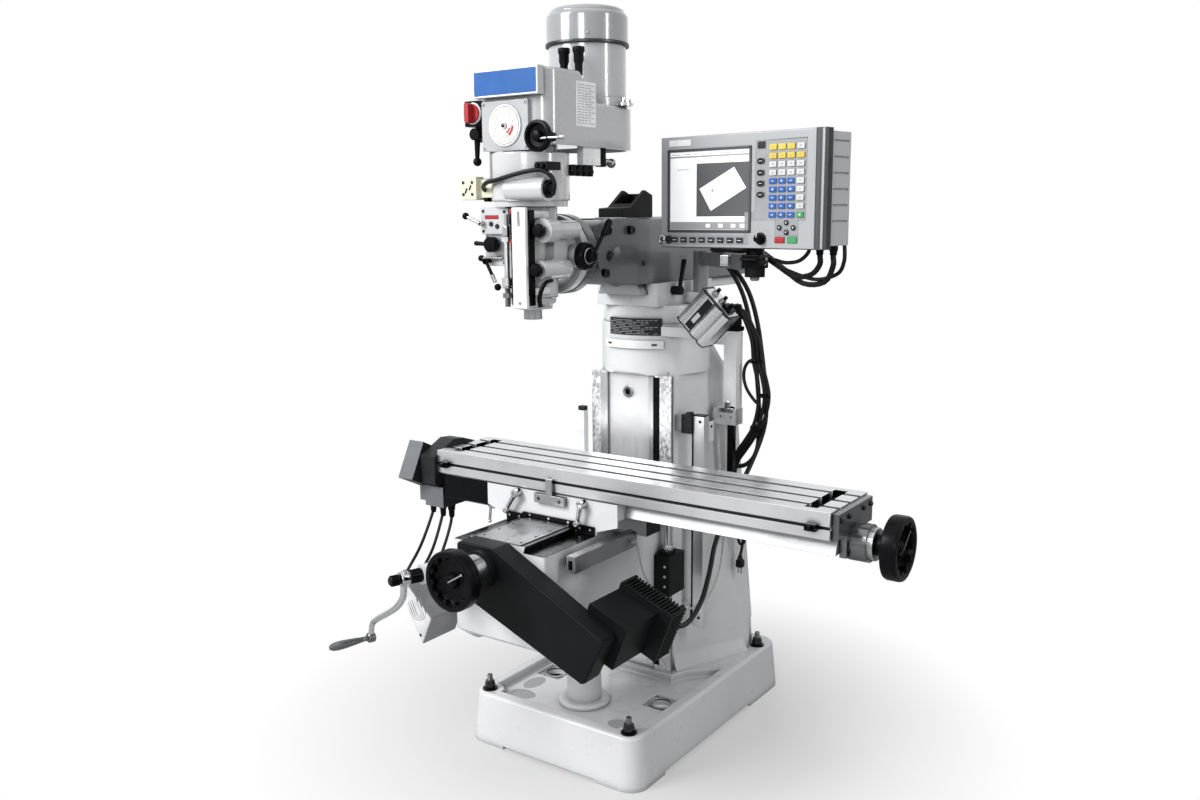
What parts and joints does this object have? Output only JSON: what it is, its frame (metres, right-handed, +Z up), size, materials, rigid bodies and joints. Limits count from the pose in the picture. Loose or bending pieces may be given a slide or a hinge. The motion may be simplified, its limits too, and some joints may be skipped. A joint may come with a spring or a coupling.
{
  "type": "turret milling machine",
  "caption": "Upright turret milling machine: cast column and base, sliding table on a knee, tilting head on a ram, screw handwheels and a swinging control pendant.",
  "frame": {"origin": "on the floor, in the centre plane of the machine, under the flat face of the column ways", "axes": "+X along the table to the operator's right, +Y to the rear, +Z up"},
  "size_m": [1.4772, 1.462, 2.063],
  "materials": {
    "light_paint": "smooth enamel",
    "grey_paint": "semi gloss",
    "ground_steel": "ground",
    "cast_face": "machined casting",
    "chrome_lever": "polished",
    "black_plastic": "matte",
    "black_steel": "matte black",
    "finned_aluminium": "extruded",
    "white_duct": "smooth",
    "cable_rubber": "matte",
    "pendant_grey": "fine texture",
    "key_mat": "silicone",
    "red_plastic": "gloss",
    "green_plastic": "gloss",
    "dial_white": "gloss"
  },
  "bodies": {
    "frame": {"base_casting": "light_paint", "column_casting": "light_paint", "leveling_bolts": "ground_steel", "screw_pedestal": "light_paint", "z_scale_bar": "ground_steel", "cable_duct": "white_duct", "drive_enclosure": "finned_aluminium", "plug_cord": "cable_rubber", "pendant_cables": "cable_rubber"},
    "turret_body": {"turret": "light_paint"},
    "ram_lever_body": {"ram_lock_lever": "black_steel"},
    "ram_body": {"ram": "light_paint", "ram_bracket": "black_steel", "nod_bolts": "black_steel"},
    "adapter_body": {"head_adapter": "light_paint"},
    "head_body": {"head_casting": "light_paint", "gear_housing": "light_paint", "belt_housing": "grey_paint", "motor_body": "grey_paint", "motor_cap": "grey_paint", "feed_gearbox": "light_paint", "switch_box": "black_plastic", "quill_scales": "ground_steel", "head_knobs": "black_plastic"},
    "rotor_body": {"motor_rotor": "ground_steel"},
    "dial_body": {"speed_dial": "dial_white"},
    "quill_body": {"quill": "ground_steel"},
    "spindle_body": {"spindle": "ground_steel"},
    "quill_handle_body": {"quill_handle": "black_plastic"},
    "speed_wheel_body": {"speed_handwheel": "black_plastic"},
    "brake_body": {"brake_lever": "black_plastic"},
    "switch_body": {"drum_switch": "red_plastic"},
    "feed_lever_body": {"feed_lever": "chrome_lever"},
    "feed_knob_body": {"feed_knob": "black_plastic"},
    "trip_body": {"trip_lever": "chrome_lever"},
    "knee_body": {"knee_casting": "light_paint", "y_belt_cover": "black_plastic", "y_motor": "black_steel", "junction_box": "white_duct", "y_scale_bar": "ground_steel", "axis_cables": "cable_rubber"},
    "lift_screw_body": {"knee_screw": "ground_steel"},
    "crank_body": {"knee_crank": "chrome_lever"},
    "y_wheel_body": {"y_handwheel": "black_plastic"},
    "saddle_body": {"saddle": "cast_face", "way_bellows": "cable_rubber"},
    "left_lock_body": {"lock_lever_left": "chrome_lever"},
    "right_lock_body": {"lock_lever_right": "chrome_lever"},
    "table_body": {"table": "ground_steel", "end_bracket": "ground_steel", "x_belt_cover": "black_plastic", "x_motor": "black_steel", "stop_dogs": "ground_steel"},
    "x_wheel_body": {"x_handwheel": "black_plastic"},
    "arm_body": {"pendant_arm": "grey_paint"},
    "pendant_body": {"pendant_housing": "pendant_grey", "keypad": "key_mat"},
    "override_body": {"override_knob": "black_plastic"},
    "start_body": {"start_key": "green_plastic"},
    "stop_body": {"stop_key": "red_plastic"}
  },
  "joints": [
    {"name": "turret_turn", "type": "hinge", "parent": "frame", "child": "turret_body", "pos_m": [0, 0.145, 1.212], "axis": [0, 0, 1], "range_deg": [-90, 90], "deforming": ["pendant_cables"]},
    {"name": "ram_lock_turn", "type": "hinge", "parent": "turret_body", "child": "ram_lever_body", "pos_m": [0.12, 0.065, 1.308], "axis": [1, 0, 0], "range_deg": [-24, 34]},
    {"name": "ram_slide", "type": "slide", "parent": "turret_body", "child": "ram_body", "axis": [0, 1, 0], "range_m": [-0.08, 0.22]},
    {"name": "head_nod", "type": "hinge", "parent": "ram_body", "child": "adapter_body", "pos_m": [0, -0.2, 1.425], "axis": [-1, 0, 0], "range_deg": [-45, 20]},
    {"name": "head_roll", "type": "hinge", "parent": "adapter_body", "child": "head_body", "pos_m": [0, -0.345, 1.425], "axis": [0, 1, 0], "range_deg": [-90, 7]},
    {"name": "motor_turn", "type": "hinge", "parent": "head_body", "child": "rotor_body", "pos_m": [0, -0.205, 1.9], "axis": [0, 0, 1], "continuous": true},
    {"name": "quill_feed", "type": "slide", "parent": "head_body", "child": "quill_body", "axis": [0, 0, 1], "range_m": [-0.127, 0]},
    {"name": "spindle_turn", "type": "hinge", "parent": "quill_body", "child": "spindle_body", "pos_m": [0, -0.457, 1.4], "axis": [0, 0, 1], "continuous": true},
    {"name": "quill_handle_turn", "type": "hinge", "parent": "head_body", "child": "quill_handle_body", "pos_m": [0.12, -0.39, 1.423], "axis": [1, 0, 0], "range_deg": [-514.45, 0]},
    {"name": "speed_wheel_turn", "type": "hinge", "parent": "head_body", "child": "speed_wheel_body", "pos_m": [0.106, -0.53, 1.714], "axis": [0, 1, 0], "range_deg": [-360, 360]},
    {"name": "dial_turn", "type": "hinge", "parent": "head_body", "child": "dial_body", "pos_m": [-0.01, -0.54, 1.745], "axis": [0, 1, 0], "range_deg": [-90, 90]},
    {"name": "brake_turn", "type": "hinge", "parent": "head_body", "child": "brake_body", "pos_m": [-0.1316, -0.505, 1.731], "axis": [0, 1, 0], "range_deg": [0, 40]},
    {"name": "switch_turn", "type": "hinge", "parent": "head_body", "child": "switch_body", "pos_m": [-0.147, -0.51, 1.784], "axis": [0, 1, 0], "range_deg": [-60, 60]},
    {"name": "feed_lever_turn", "type": "hinge", "parent": "head_body", "child": "feed_lever_body", "pos_m": [-0.1, -0.53, 1.508], "axis": [0, 1, 0], "range_deg": [-25, 25]},
    {"name": "feed_knob_turn", "type": "hinge", "parent": "head_body", "child": "feed_knob_body", "pos_m": [-0.063, -0.53, 1.455], "axis": [0, 1, 0], "range_deg": [-25, 40]},
    {"name": "trip_lever_turn", "type": "hinge", "parent": "head_body", "child": "trip_body", "pos_m": [-0.085, -0.53, 1.412], "axis": [0, 1, 0], "range_deg": [0, 30]},
    {"name": "knee_lift", "type": "slide", "parent": "frame", "child": "knee_body", "axis": [0, 0, 1], "range_m": [-0.055, 0.318], "deforming": ["axis_cables"]},
    {"name": "lift_screw_turn", "type": "hinge", "parent": "knee_body", "child": "lift_screw_body", "pos_m": [0, -0.25, 0.4], "axis": [0, 0, 1], "range_deg": [-3897.64, 22535.43]},
    {"name": "crank_turn", "type": "hinge", "parent": "knee_body", "child": "crank_body", "pos_m": [0, -0.255, 0.622], "axis": [0.3017, 0.9534, 0], "range_deg": [-7795.28, 45070.87]},
    {"name": "saddle_slide", "type": "slide", "parent": "knee_body", "child": "saddle_body", "axis": [0, 1, 0], "range_m": [-0.218, 0.06]},
    {"name": "y_wheel_turn", "type": "hinge", "parent": "knee_body", "child": "y_wheel_body", "pos_m": [0, -0.788, 0.65], "axis": [0, 1, 0], "range_deg": [-15448.82, 4251.97]},
    {"name": "left_lock_turn", "type": "hinge", "parent": "saddle_body", "child": "left_lock_body", "pos_m": [-0.106, -0.412, 0.772], "axis": [0, 1, 0], "range_deg": [-28, 28]},
    {"name": "right_lock_turn", "type": "hinge", "parent": "saddle_body", "child": "right_lock_body", "pos_m": [0.117, -0.412, 0.772], "axis": [0, 1, 0], "range_deg": [-28, 28]},
    {"name": "table_slide", "type": "slide", "parent": "saddle_body", "child": "table_body", "axis": [1, 0, 0], "range_m": [-0.5, 0.16], "deforming": ["way_bellows"]},
    {"name": "x_wheel_turn", "type": "hinge", "parent": "table_body", "child": "x_wheel_body", "pos_m": [0.93, -0.2897, 0.764], "axis": [1, 0, 0], "range_deg": [-35433.07, 11338.58]},
    {"name": "arm_swing", "type": "hinge", "parent": "turret_body", "child": "arm_body", "pos_m": [0.15, 0.15, 1.36], "axis": [0, 0, 1], "range_deg": [-8, 60]},
    {"name": "pendant_turn", "type": "hinge", "parent": "arm_body", "child": "pendant_body", "pos_m": [0.47, -0.13, 1.4], "axis": [0, 0, 1], "range_deg": [-28, 28]},
    {"name": "override_turn", "type": "hinge", "parent": "pendant_body", "child": "override_body", "pos_m": [0.52225, -0.20341, 1.4655], "axis": [0.1426, 0.9898, 0], "range_deg": [-135, 135]},
    {"name": "start_press", "type": "slide", "parent": "pendant_body", "child": "start_body", "axis": [0.1426, 0.9898, 0], "range_m": [0, 0.0015], "stiffness_N_per_m": 800},
    {"name": "stop_press", "type": "slide", "parent": "pendant_body", "child": "stop_body", "axis": [0.1426, 0.9898, 0], "range_m": [0, 0.0015], "stiffness_N_per_m": 800}
  ],
  "couplings": [
    {"joint": "spindle_turn", "follows": "motor_turn", "ratio": 1},
    {"joint": "quill_handle_turn", "follows": "quill_feed", "rad_per_m": 70.7},
    {"joint": "dial_turn", "follows": "speed_wheel_turn", "ratio": 0.25},
    {"joint": "lift_screw_turn", "follows": "knee_lift", "rad_per_m": 1236.8},
    {"joint": "crank_turn", "follows": "knee_lift", "rad_per_m": 2473.7},
    {"joint": "y_wheel_turn", "follows": "saddle_slide", "rad_per_m": 1236.8},
    {"joint": "x_wheel_turn", "follows": "table_slide", "rad_per_m": 1236.8}
  ]
}
